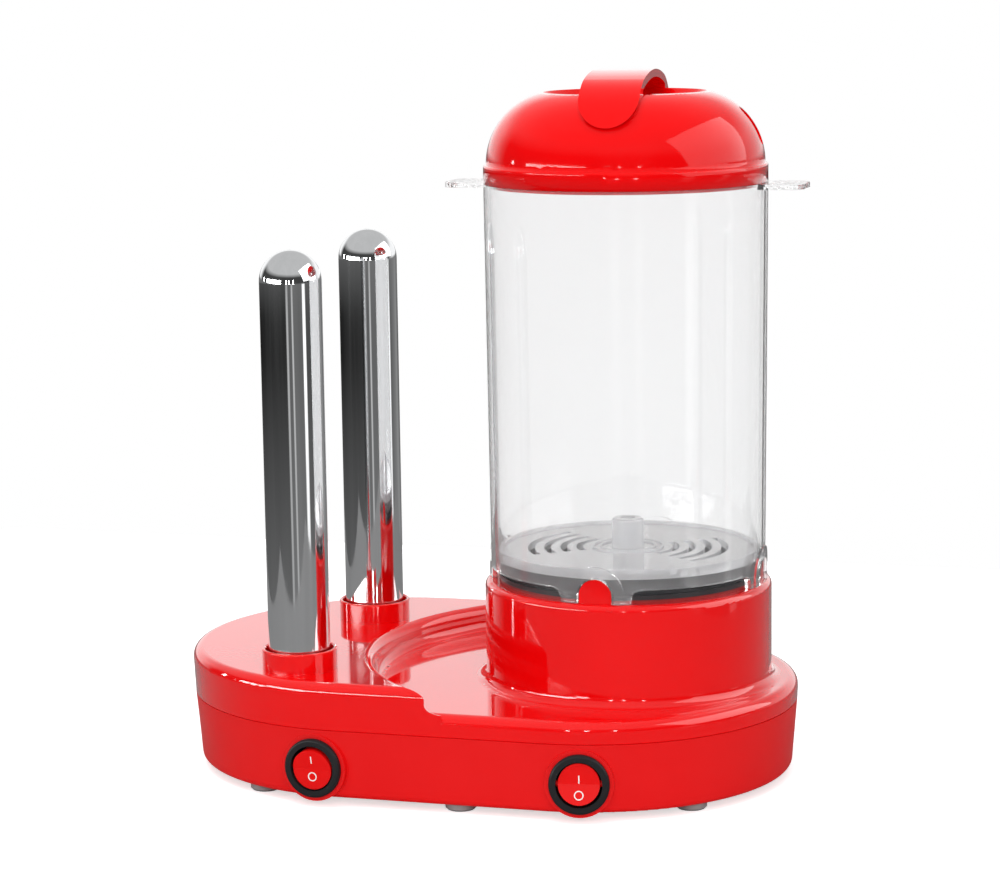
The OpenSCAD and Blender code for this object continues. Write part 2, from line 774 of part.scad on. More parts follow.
module recess_profile(grow) {
    top = dome_z + dome_r + eps;
    translate([0, recess_z - grow]) square([recess_r + grow, top - recess_z + grow]);
}

module lid() {
    color(RED) at_drum() rotate(lid_turn) difference() {
        rotate_extrude() difference() {
            union() {
                lid_solid(0);
                translate([0, lid_z - spigot_h]) square([spigot_r, spigot_h + eps]);
            }
            recess_profile(0);
            difference() {
                union() {
                    translate([0, lid_z - spigot_h - eps]) square([spigot_r - spigot_t, spigot_h + rim_h + 2 * eps]);
                    intersection() {
                        translate([dome_c, dome_z]) circle(dome_r - lid_wall);
                        translate([dome_c, dome_z - eps]) square([spigot_r - spigot_t - dome_c, 2 * dome_r]);
                    }
                    translate([0, dome_z - eps]) square([dome_c + eps, dome_r - lid_wall + eps]);
                }
                recess_profile(lid_wall);
            }
        }
        translate([dome_c, 0, dome_z]) rotate([0, 90 - 32, 0]) linear_extrude(2 * dome_r) {
            square([vent_len - vent_w, vent_w], center = true);
            for (s = [-1, 1]) translate([s * (vent_len - vent_w) / 2, 0]) circle(vent_w / 2);
        }
        at_pegs() cylinder(r = peg_r + push_gap, h = 2 * dome_r);
    }
}

// Side view of the space under the strap's outer face, moved in by in
module strap_side(in) {
    clip = strap_side_c + strap_side_r;
    spread = atan2(strap_side_c, strap_top_r - strap_rise);
    intersection() {
        translate([0, strap_side_z + strap_rise - strap_top_r]) circle(strap_top_r - in);
        translate([-strap_side_c - (strap_side_r - in) * sin(spread), strap_side_z])
            square([2 * (strap_side_c + (strap_side_r - in) * sin(spread)), clip]);
    }
    for (s = [-1, 1]) translate([s * strap_side_c, strap_side_z]) circle(strap_side_r - in);
    translate([-strap_side_c, strap_side_z - strap_side_r]) square([2 * strap_side_c, strap_side_r]);
}

module lid_handle() {
    foot_arc = strap_w / 2;
    color(RED) at_drum() rotate(lid_turn) {
        difference() {
            intersection() {
                rotate([90, 0, 90]) linear_extrude(strap_w, center = true) difference() {
                    strap_side(0);
                    intersection() {
                        strap_side(strap_t);
                        translate([-recess_r, 0]) square([2 * recess_r, 2 * (lid_z + strap_top)]);
                    }
                }
                rotate([90, 0, 0]) linear_extrude(4 * dome_r + 4 * dome_c, center = true) {
                    translate([0, strap_foot_z + foot_arc]) circle(foot_arc);
                    translate([-foot_arc, strap_foot_z + foot_arc]) square([strap_w, strap_top]);
                }
            }
            rotate_extrude() lid_solid(seat_gap);
        }
        at_pegs() translate([0, 0, peg_end]) cylinder(r = peg_r, h = dome_r + 1 - peg_end);
    }
}

module lid_handle_clips() {
    color(STEEL) at_drum() rotate(lid_turn) at_pegs() ring(clip_r, peg_r + push_gap, clip_seat - clip_t, clip_seat);
}

placed() lower_housing();
placed() upper_housing();
placed() rubber_feet();
placed() housing_screws();
placed() cord_grommet();
placed() terminal_block();
placed() terminal_block_screw();
placed() switch_body(-1);  // bun_switch_body
placed() switch_rocker(-1, rocker_swing);  // bun_switch_rocker
placed() switch_terminals(-1);  // bun_switch_terminals
placed() switch_body(1);  // steam_switch_body
placed() switch_rocker(1, -rocker_swing);  // steam_switch_rocker
placed() switch_terminals(1);  // steam_switch_terminals
placed() water_pan();
placed() pan_seal();
placed() pan_ring_nut();
placed() heater_ring();
placed() heater_clamp_plate();
placed() heater_clamp_screw();
placed() steam_thermostat();
placed() thermal_fuse();
placed() spike(-1);  // spike_front
placed() spike(1);  // spike_rear
placed() spike_collar(-1);  // spike_collar_front
placed() spike_collar(1);  // spike_collar_rear
placed() spike_heater(-1);  // spike_heater_front
placed() spike_heater(1);  // spike_heater_rear
placed() spike_clamp_plate();
placed() spike_clamp_screws();
placed() steam_tube();
placed() sausage_tray();
placed() lid();
placed() lid_handle();
placed() lid_handle_clips();
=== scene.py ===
"""Dressed scene of a table-top hot dog steamer: finishes, printed switch marks, studio and camera."""

import logging
import math
from dataclasses import dataclass, field, replace
from enum import Enum
from typing import Any

import bmesh
import bpy
from mathutils import Matrix, Vector

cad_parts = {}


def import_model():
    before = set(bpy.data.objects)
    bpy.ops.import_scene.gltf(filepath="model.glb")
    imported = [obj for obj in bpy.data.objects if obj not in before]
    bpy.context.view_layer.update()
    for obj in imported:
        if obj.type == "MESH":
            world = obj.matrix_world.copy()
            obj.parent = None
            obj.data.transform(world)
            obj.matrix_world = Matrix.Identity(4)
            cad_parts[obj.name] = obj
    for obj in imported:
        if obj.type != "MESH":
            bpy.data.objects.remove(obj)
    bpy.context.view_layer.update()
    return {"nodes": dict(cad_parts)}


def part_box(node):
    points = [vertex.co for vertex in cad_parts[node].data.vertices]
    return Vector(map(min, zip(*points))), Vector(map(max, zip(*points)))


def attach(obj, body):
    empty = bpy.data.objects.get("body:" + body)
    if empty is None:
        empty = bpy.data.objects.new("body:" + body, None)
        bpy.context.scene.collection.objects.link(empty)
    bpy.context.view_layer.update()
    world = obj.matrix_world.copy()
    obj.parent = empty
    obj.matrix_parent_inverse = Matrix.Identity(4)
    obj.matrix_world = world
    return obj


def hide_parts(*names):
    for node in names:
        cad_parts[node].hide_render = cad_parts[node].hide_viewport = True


LOG = logging.getLogger("steamer")

Colour = tuple[float, float, float]
Span = tuple[float, float]
Levels = tuple[Span, ...]
Node = bpy.types.Node
Socket = bpy.types.NodeSocket

MM = 0.001
DRUM_X = 54.05 * MM  # axis of the drum in the row frame
OVAL_X = -1.95 * MM  # middle of the base's oval in the row frame
NOISE_MIDDLE: Span = (0.2, 0.8)  # where nearly all values of a noise lie


class Side(Enum):
    """Side of the base on which a switch sits, as its sign along X."""

    LEFT = -1
    RIGHT = 1


class Mark(Enum):
    """Printed sign on a rocker."""

    LINE = "line"
    RING = "ring"


class LampRole(Enum):
    """Use of a lamp: to light the object, or to be mirrored in it."""

    LIGHTING = "lighting"
    MIRRORED = "mirrored"


class Graph:
    """Shader node tree that is being wired up."""

    def __init__(self, tree: bpy.types.NodeTree) -> None:
        """Takes over a node tree and empties it.

        Args:
            tree: The node tree of a material or world.
        """
        self.tree = tree
        tree.nodes.clear()

    def add(self, kind: str, inputs: dict[str | int, Any] | None = None, **settings: Any) -> Node:
        """Adds one node.

        Args:
            kind: Node type without the ShaderNode prefix.
            inputs: Socket values, or sockets to link from, by name or index.
            settings: Properties of the node itself.

        Returns:
            The new node.
        """
        node = self.tree.nodes.new("ShaderNode" + kind)
        for key, value in settings.items():
            setattr(node, key, value)
        for key, value in (inputs or {}).items():
            if isinstance(value, Socket):
                self.tree.links.new(value, node.inputs[key])
            else:
                node.inputs[key].default_value = value
        return node

    def noise(self, scale: float, stretch: Vector = Vector((1, 1, 1)), detail: float = 3.0) -> Socket:
        """Adds a noise pattern on Object coordinates.

        Args:
            scale: Features per metre.
            stretch: Scale factors along the three axes.
            detail: Octaves of the noise.

        Returns:
            The socket with the pattern's value.
        """
        coords = self.add("TexCoord").outputs["Object"]
        mapped = self.add("Mapping", {"Vector": coords, "Scale": stretch}).outputs["Vector"]
        return self.add("TexNoise", {"Vector": mapped, "Scale": scale, "Detail": detail}).outputs["Fac"]

    def spread(self, value: Socket, low: float, high: float) -> Socket:
        """Maps the middle of a noise to a range of numbers.

        Args:
            value: Socket with a noise of 0 to 1.
            low: Result for the noise's dark parts.
            high: Result for the noise's light parts.

        Returns:
            The socket with the mapped value.
        """
        darkest, lightest = NOISE_MIDDLE
        span = {"Value": value, "From Min": darkest, "From Max": lightest, "To Min": low, "To Max": high}
        return self.add("MapRange", span, interpolation_type="SMOOTHSTEP").outputs["Result"]

    def blend(self, value: Socket, dark: Colour, light: Colour) -> Socket:
        """Mixes two colours by a pattern.

        Args:
            value: Socket with the pattern.
            dark: Colour where the pattern is 0.
            light: Colour where the pattern is 1.

        Returns:
            The socket with the mixed colour.
        """
        node = self.add("Mix", {0: value}, data_type="RGBA")
        node.inputs[6].default_value = (*dark, 1)
        node.inputs[7].default_value = (*light, 1)
        return node.outputs[2]

    def bump(self, height: Socket, depth: float, strength: float) -> Socket:
        """Turns a height pattern into a normal.

        Args:
            height: Socket with the pattern.
            depth: Height of the relief in metres.
            strength: Share of the relief that shows.

        Returns:
            The socket with the normal.
        """
        return self.add("Bump", {"Height": height, "Distance": depth, "Strength": strength}).outputs["Normal"]

    def math(self, operation: str, first: Socket, second: Socket | float) -> Socket:
        """Works out one number from two.

        Args:
            operation: Name of the operation.
            first: Socket with the first number.
            second: Socket with the second number, or the number itself.

        Returns:
            The socket with the result.
        """
        return self.add("Math", {0: first, 1: second}, operation=operation).outputs["Value"]

    def ramp(self, value: Socket, ends: Span, top: float = 1.0) -> Socket:
        """Maps a number to a share that rises from 0 between two ends and stays level beyond them.

        Args:
            value: Socket with the number.
            ends: Numbers at which the share starts and ends.
            top: Share at the second end.

        Returns:
            The socket with the share.
        """
        span = {"Value": value, "From Min": ends[0], "From Max": ends[1], "To Max": top}
        return self.add("MapRange", span).outputs["Result"]

    def seen_plainly(self) -> Socket:
        """Tells the rays of the eye, straight or through glass, from all others.

        Returns:
            The socket with 1 for such a ray and 0 for the rest.
        """
        rays = self.add("LightPath").outputs
        return self.math("MAXIMUM", rays["Is Camera Ray"], rays["Is Transmission Ray"])


def grey(level: float) -> tuple[float, float, float, float]:
    """Gives the neutral colour of a level."""
    return (level, level, level, 1.0)


def new_material(name: str) -> tuple[bpy.types.Material, Graph, Node]:
    """Starts a material with one principled shader.

    Args:
        name: Name of the finish.

    Returns:
        The material, its node graph and the shader node.
    """
    material = bpy.data.materials.new(name)
    material.use_nodes = True
    graph = Graph(material.node_tree)
    shader = graph.add("BsdfPrincipled")
    graph.add("OutputMaterial", {"Surface": shader.outputs["BSDF"]})
    return material, graph, shader


@dataclass(frozen=True)
class MouldedPlastic:
    """Opaque moulded plastic, from polished to spark-eroded, or rubber."""

    name: str
    dark: Colour
    light: Colour
    roughness: Span
    grain: float
    relief: float
    coat: float = 0.0
    ior: float = 1.5
    cloud: float = 28.0
    grain_detail: float = 2.0
    grain_share: float = 0.5
    coat_roughness: float = 0.02

    def material(self) -> bpy.types.Material:
        """Builds the finish as a material.

        Returns:
            The new material.
        """
        material, graph, shader = new_material(self.name)
        cloud = graph.noise(self.cloud)
        grain = graph.noise(self.grain, detail=self.grain_detail)
        tree = graph.tree
        tree.links.new(graph.blend(cloud, self.dark, self.light), shader.inputs["Base Color"])
        tree.links.new(graph.spread(cloud, *self.roughness), shader.inputs["Roughness"])
        tree.links.new(graph.bump(grain, self.relief, self.grain_share), shader.inputs["Normal"])
        shader.inputs["IOR"].default_value = self.ior
        shader.inputs["Coat Weight"].default_value = self.coat
        shader.inputs["Coat IOR"].default_value = self.ior
        shader.inputs["Coat Roughness"].default_value = self.coat_roughness
        return material


@dataclass(frozen=True)
class PolishedMetal:
    """Plated or drawn metal with marks along its height."""

    name: str
    dark: Colour
    light: Colour
    roughness: Span
    streaks: float = 500.0
    relief: float = 0.004 * MM
    relief_share: float = 0.4
    height_squash: float = 0.015

    def material(self) -> bpy.types.Material:
        """Builds the finish as a material.

        Returns:
            The new material.
        """
        material, graph, shader = new_material(self.name)
        drawn = graph.noise(self.streaks, stretch=Vector((1, 1, self.height_squash)))
        tree = graph.tree
        tree.links.new(graph.blend(drawn, self.dark, self.light), shader.inputs["Base Color"])
        tree.links.new(graph.spread(drawn, *self.roughness), shader.inputs["Roughness"])
        tree.links.new(graph.bump(drawn, self.relief, self.relief_share), shader.inputs["Normal"])
        shader.inputs["Metallic"].default_value = 1.0
        return material


@dataclass(frozen=True)
class ClearPlastic:
    """Clear moulded plastic with faint flow lines, and stippled lifting ears where it has them."""

    name: str
    tint: Colour
    roughness: Span
    milk: float
    ior: float = 1.5
    flow: float = 60.0
    flow_detail: float = 2.0
    flow_squash: float = 0.04
    flow_depth: float = 0.01 * MM
    flow_share: float = 0.2
    stipple_from: float = 0.0
    stipple_dots: float = 520.0
    stipple_depth: float = 0.5 * MM
    stipple_share: float = 0.9

    def material(self) -> bpy.types.Material:
        """Builds the finish as a material.

        Returns:
            The new material.
        """
        material, graph, shader = new_material(self.name)
        lines = graph.noise(self.flow, stretch=Vector((1, 1, self.flow_squash)), detail=self.flow_detail)
        tree = graph.tree
        tree.links.new(graph.spread(lines, *self.roughness), shader.inputs["Roughness"])
        tree.links.new(self.relief(graph, lines), shader.inputs["Normal"])
        shader.inputs["Base Color"].default_value = (*self.tint, 1)
        shader.inputs["IOR"].default_value = self.ior
        shader.inputs["Transmission Weight"].default_value = 1.0 - self.milk
        return material

    def relief(self, graph: Graph, lines: Socket) -> Socket:
        """Makes the surface relief: flow lines on the wall, dots on the ears.

        Args:
            graph: The material's node graph.
            lines: Socket with the flow-line pattern.

        Returns:
            The socket with the normal.
        """
        wall = graph.bump(lines, self.flow_depth, self.flow_share)
        if self.stipple_from <= 0:
            return wall
        coords = graph.add("TexCoord").outputs["Object"]
        centring = {"Vector": coords, "Location": (-DRUM_X, 0, 0), "Scale": (1, 1, 0)}
        centred = graph.add("Mapping", centring).outputs["Vector"]
        reach = graph.add("VectorMath", {0: centred}, operation="LENGTH").outputs["Value"]
        on_ear = graph.math("GREATER_THAN", reach, self.stipple_from)
        dots = graph.add("TexVoronoi", {"Vector": coords, "Scale": self.stipple_dots}).outputs["Distance"]
        stipple = {
            "Height": graph.math("MULTIPLY", dots, on_ear),
            "Distance": self.stipple_depth,
            "Strength": self.stipple_share,
            "Normal": wall,
        }
        return graph.add("Bump", stipple).outputs["Normal"]


class Finishes:
    """All finishes of the steamer, made once and shared by its pieces."""

    TABLE: tuple[MouldedPlastic | PolishedMetal | ClearPlastic, ...] = (
        MouldedPlastic("polished_red", (0.80, 0.001, 0.002), (0.88, 0.002, 0.003), (0.05, 0.10), 700,
                       0.012 * MM, coat=1.0, ior=1.35),
        MouldedPlastic("lid_red", (0.82, 0.001, 0.002), (0.88, 0.002, 0.003), (0.06, 0.11), 700,
                       0.012 * MM, coat=1.0, ior=1.2),
        MouldedPlastic("textured_red", (0.76, 0.004, 0.005), (0.84, 0.007, 0.008), (0.29, 0.36), 1800,
                       0.06 * MM, ior=1.25),
        MouldedPlastic("rocker_red", (0.76, 0.003, 0.003), (0.82, 0.005, 0.005), (0.29, 0.36), 900,
                       0.01 * MM, ior=1.2),
        MouldedPlastic("bezel_black", (0.012, 0.012, 0.013), (0.020, 0.020, 0.022), (0.32, 0.45), 1500,
                       0.03 * MM, ior=1.25),
        MouldedPlastic("foot_rubber", (0.24, 0.23, 0.23), (0.34, 0.33, 0.33), (0.55, 0.75), 1200, 0.05 * MM),
        MouldedPlastic("pan_coating", (0.030, 0.031, 0.034), (0.045, 0.046, 0.050), (0.29, 0.42), 1400,
                       0.03 * MM),
        MouldedPlastic("seal_silicone", (0.28, 0.01, 0.01), (0.36, 0.02, 0.02), (0.5, 0.65), 900, 0.02 * MM),
        MouldedPlastic("cream_ceramic", (0.66, 0.60, 0.48), (0.76, 0.71, 0.60), (0.5, 0.7), 1300, 0.04 * MM),
        MouldedPlastic("print_white", (0.86, 0.86, 0.85), (0.92, 0.92, 0.91), (0.4, 0.5), 2500, 0.004 * MM),
        PolishedMetal("spike_chrome", (0.74, 0.75, 0.76), (0.86, 0.87, 0.88), (0.035, 0.075)),
        PolishedMetal("zinc_steel", (0.48, 0.49, 0.50), (0.60, 0.61, 0.62), (0.29, 0.40), 300, 0.01 * MM),
        PolishedMetal("blade_brass", (0.62, 0.44, 0.17), (0.74, 0.56, 0.26), (0.29, 0.38), 300, 0.01 * MM),
        ClearPlastic("clear_tube", (0.995, 0.997, 1.0), (0.0, 0.02), 0.06, stipple_from=57.5 * MM),
        ClearPlastic("clear_tray", (0.97, 0.975, 0.985), (0.03, 0.09), 0.36),
    )

    def __init__(self) -> None:
        """Builds every material."""
        self.made = {finish.name: finish.material() for finish in self.TABLE}

    def __getitem__(self, name: str) -> bpy.types.Material:
        """Gives the material of a finish by its name."""
        return self.made[name]


@dataclass
class SubAssembly:
    """Group of CAD nodes that are dressed together."""

    nodes: dict[str, bpy.types.Object]
    finishes: Finishes
    dressing: dict[str, str] = field(default_factory=dict)

    def dress(self) -> None:
        """Gives each node its finish."""
        for node, finish in self.dressing.items():
            data = self.nodes[node].data
            data.materials.clear()
            data.materials.append(self.finishes[finish])
            LOG.info("%s: %s", node, finish)

    def build(self) -> None:
        """Adds the group's own pieces, of which most groups have none."""

    def place(self, mesh: bmesh.types.BMesh, name: str, finish: str) -> bpy.types.Object:
        """Makes a finished bmesh a piece of the scene.

        Args:
            mesh: The shape in the row frame, which is freed.
            name: Name of the new piece.
            finish: Name of its finish.

        Returns:
            The new piece, still without a body.
        """
        data = bpy.data.meshes.new(name)
        mesh.to_mesh(data)
        mesh.free()
        data.materials.append(self.finishes[finish])
        piece = bpy.data.objects.new(name, data)
        bpy.context.scene.collection.objects.link(piece)
        LOG.info("%s: %s", name, finish)
        return piece


@dataclass
class BaseHousing(SubAssembly):
    """Two-part oval housing with feet, screws and mains entry."""

    dressing: dict[str, str] = field(default_factory=lambda: {
        "upper_housing": "polished_red",
        "lower_housing": "textured_red",
        "rubber_feet": "foot_rubber",
        "housing_screws": "zinc_steel",
        "cord_grommet": "bezel_black",
        "terminal_block": "cream_ceramic",
        "terminal_block_screw": "zinc_steel",
    })


@dataclass
class SteamDrum(SubAssembly):
    """Water pan on the drum with its heater and safety parts."""

    dressing: dict[str, str] = field(default_factory=lambda: {
        "water_pan": "pan_coating",
        "pan_seal": "seal_silicone",
        "pan_ring_nut": "zinc_steel",
        "heater_ring": "zinc_steel",
        "heater_clamp_plate": "zinc_steel",
        "heater_clamp_screw": "zinc_steel",
        "steam_thermostat": "cream_ceramic",
        "thermal_fuse": "cream_ceramic",
    })


@dataclass
class BunSpikes(SubAssembly):
    """Two heated spikes with their collars and clamp."""

    dressing: dict[str, str] = field(default_factory=lambda: {
        "spike_front": "spike_chrome",
        "spike_rear": "spike_chrome",
        "spike_collar_front": "polished_red",
        "spike_collar_rear": "polished_red",
        "spike_heater_front": "cream_ceramic",
        "spike_heater_rear": "cream_ceramic",
        "spike_clamp_plate": "zinc_steel",
        "spike_clamp_screws": "zinc_steel",
    })


@dataclass
class SteamTube(SubAssembly):
    """Clear tube with the sausage tray and the domed lid."""

    lip_depth: float = 1.2 * MM
    crease: float = math.radians(30)
    weld: float = 0.001 * MM
    dressing: dict[str, str] = field(default_factory=lambda: {
        "steam_tube": "clear_tube",
        "sausage_tray": "clear_tray",
        "lid": "lid_red",
        "lid_handle": "lid_red",
        "lid_handle_clips": "zinc_steel",
    })

    def build(self) -> None:
        """Makes the lid with a low lip inside the tube, in place of the CAD lid with its full spigot."""
        mesh = bmesh.new()
        mesh.from_mesh(self.nodes["lid"].data)
        bmesh.ops.remove_doubles(mesh, verts=mesh.verts, dist=self.weld)
        tube_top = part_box("steam_tube")[1][2]
        lip_end = Vector((0, 0, tube_top - self.lip_depth))
        whole = [*mesh.verts, *mesh.edges, *mesh.faces]
        cut = bmesh.ops.bisect_plane(mesh, geom=whole, plane_co=lip_end, plane_no=(0, 0, 1), clear_inner=True)
        rims = [edge for edge in cut["geom_cut"] if isinstance(edge, bmesh.types.BMEdge)]
        bmesh.ops.bridge_loops(mesh, edges=rims)
        bmesh.ops.recalc_face_normals(mesh, faces=mesh.faces)
        shell = self.place(mesh, "lid_shell", "lid_red")
        shell.data.shade_smooth()
        shell.data.set_sharp_from_angle(angle=self.crease)
        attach(shell, "lid")
        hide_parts("lid")


@dataclass
class RockerSwitch(SubAssembly):
    """Round rocker switch with its printed line and ring, in millimetres and degrees."""

    side: Side = Side.LEFT
    title: str = "bun"
    turn: float = 5.0
    tilt: float = 7.0
    line_at: float = 4.0
    ring_at: float = -2.9
    mark_gap: float = 0.03
    print_depth: float = 0.08
    line_size: Span = (0.45, 3.1)
    line_round: float = 0.2
    round_steps: int = 4
    ring_radius: float = 1.8
    ring_width: float = 0.42
    ring_steps: int = 48
    weld: float = 1e-5
    pad_face: float = 81.2
    end_centre: float = 41.5
    height: float = 15.2
    pivot: float = -1.5
    ridge: float = 1.3
    face_rise: float = 1.6 / 15.8

    def __post_init__(self) -> None:
        """Names the nodes after the switch's title."""
        self.dressing = {
            f"{self.title}_switch_body": "bezel_black",
            f"{self.title}_switch_rocker": "rocker_red",
            f"{self.title}_switch_terminals": "blade_brass",
        }

    def face_matrix(self, up: float) -> Matrix:
        """Finds the place of a mark on the tipped rocker.

        Args:
            up: Height of the mark over the rocker's ridge, in millimetres.

        Returns:
            Matrix from the mark's own millimetres to the row frame in metres.
        """
        sign = self.side.value
        slope = math.copysign(math.atan(self.face_rise), up)
        wall = (
            Matrix.Translation((OVAL_X / MM + sign * self.end_centre, 0, self.height))
            @ Matrix.Rotation(math.radians(sign * self.turn), 4, "Z")
            @ Matrix.Translation((0, -self.pad_face, 0))
            @ Matrix.Rotation(math.radians(90), 4, "X")
        )
        rocker = (
            Matrix.Translation((0, 0, self.pivot))
            @ Matrix.Rotation(math.radians(self.tilt), 4, "X")
            @ Matrix.Translation((0, 0, self.ridge - self.pivot))
        )
        face = Matrix.Rotation(slope, 4, "X") @ Matrix.Translation((0, up, self.mark_gap))
        return Matrix.Scale(MM, 4) @ wall @ rocker @ face

    def shape_line(self, mesh: bmesh.types.BMesh) -> None:
        """Shapes the line as a thin pad with round corners.

        Args:
            mesh: Empty bmesh to fill, in millimetres.
        """
        bmesh.ops.create_cube(mesh, size=1.0)
        bmesh.ops.scale(mesh, vec=(*self.line_size, self.print_depth), verts=mesh.verts)
        rises = {edge: abs(edge.verts[0].co.z - edge.verts[1].co.z) for edge in mesh.edges}
        upright = [edge for edge, rise in rises.items() if rise > self.print_depth / 2]
        bmesh.ops.bevel(mesh, geom=upright, offset=self.line_round, affect="EDGES", segments=self.round_steps,
                        profile=0.5, material=-1)

    def shape_ring(self, mesh: bmesh.types.BMesh) -> None:
        """Shapes the ring by spinning its section.

        Args:
            mesh: Empty bmesh to fill, in millimetres.
        """
        outer, inner = self.ring_radius, self.ring_radius - self.ring_width
        half = self.print_depth / 2
        corners = [(inner, 0, -half), (outer, 0, -half), (outer, 0, half), (inner, 0, half)]
        verts = [mesh.verts.new(corner) for corner in corners]
        edges = [mesh.edges.new((verts[i], verts[(i + 1) % 4])) for i in range(4)]
        bmesh.ops.spin(mesh, geom=verts + edges, cent=(0, 0, 0), axis=(0, 0, 1), angle=math.tau,
                       steps=self.ring_steps, use_merge=True)
        bmesh.ops.remove_doubles(mesh, verts=mesh.verts, dist=self.weld)

    def print_mark(self, mark: Mark, up: float) -> None:
        """Prints one sign on the rocker as a thin raised pad.

        Args:
            mark: Which sign to make.
            up: Height of the sign over the rocker's ridge, in millimetres.
        """
        mesh = bmesh.new()
        if mark is Mark.LINE:
            self.shape_line(mesh)
        else:
            self.shape_ring(mesh)
        bmesh.ops.recalc_face_normals(mesh, faces=mesh.faces)
        bmesh.ops.transform(mesh, matrix=self.face_matrix(up), verts=mesh.verts)
        piece = self.place(mesh, f"{self.title}_rocker_{mark.value}", "print_white")
        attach(piece, f"{self.title}_rocker")

    def build(self) -> None:
        """Prints the line and the ring on the rocker."""
        self.print_mark(Mark.LINE, self.line_at)
        self.print_mark(Mark.RING, self.ring_at)


@dataclass
class PhotoCamera:
    """Camera at the photograph's viewing angle."""

    place: Vector = Vector((325.75, -1108.6, 315.9))
    forward: Vector = Vector((-0.27676, 0.94767, -0.15919))
    roll: float = -0.8
    lens: float = 105.94
    sensor: float = 36.0
    clip: Span = (0.01, 50.0)

    def build(self) -> None:
        """Makes the camera and sets it as the scene's camera."""
        data = bpy.data.cameras.new("photo_camera")
        data.lens, data.sensor_width, data.sensor_fit = self.lens, self.sensor, "HORIZONTAL"
        data.clip_start, data.clip_end = self.clip
        camera = bpy.data.objects.new("photo_camera", data)
        bpy.context.scene.collection.objects.link(camera)
        ahead = self.forward.normalized()
        level = ahead.cross(Vector((0, 0, 1))).normalized()
        above = level.cross(ahead)
        roll = math.radians(self.roll)
        right = level * math.cos(roll) + above * math.sin(roll)
        up = above * math.cos(roll) - level * math.sin(roll)
        turn = Matrix((right, up, -ahead)).transposed().to_4x4()
        camera.matrix_world = Matrix.Translation(self.place * MM) @ turn
        bpy.context.scene.camera = camera


@dataclass(frozen=True)
class SoftLamp:
    """Rectangular lamp, placed by its bearing from the front and its height in degrees."""

    name: str
    bearing: float
    height: float
    reach: float
    size: Span
    level: float
    role: LampRole

    def hang(self, aim_point: Vector) -> None:
        """Hangs the lamp so that it points at the object.

        Args:
            aim_point: Middle of the object.
        """
        data = bpy.data.lights.new(self.name, "AREA")
        data.shape = "RECTANGLE"
        data.size, data.size_y = self.size
        data.energy = self.level * math.pi * self.size[0] * self.size[1]
        lamp = bpy.data.objects.new(self.name, data)
        bpy.context.scene.collection.objects.link(lamp)
        turn, lift = math.radians(self.bearing), math.radians(self.height)
        way = Vector((math.sin(turn) * math.cos(lift), -math.cos(turn) * math.cos(lift), math.sin(lift)))
        aim = (-way).to_track_quat("-Z", "Y").to_matrix().to_4x4()
        lamp.matrix_world = Matrix.Translation(aim_point + way * self.reach) @ aim
        lamp.visible_camera = False
        lamp.visible_glossy = self.role is LampRole.MIRRORED
        lamp.visible_diffuse = self.role is LampRole.LIGHTING


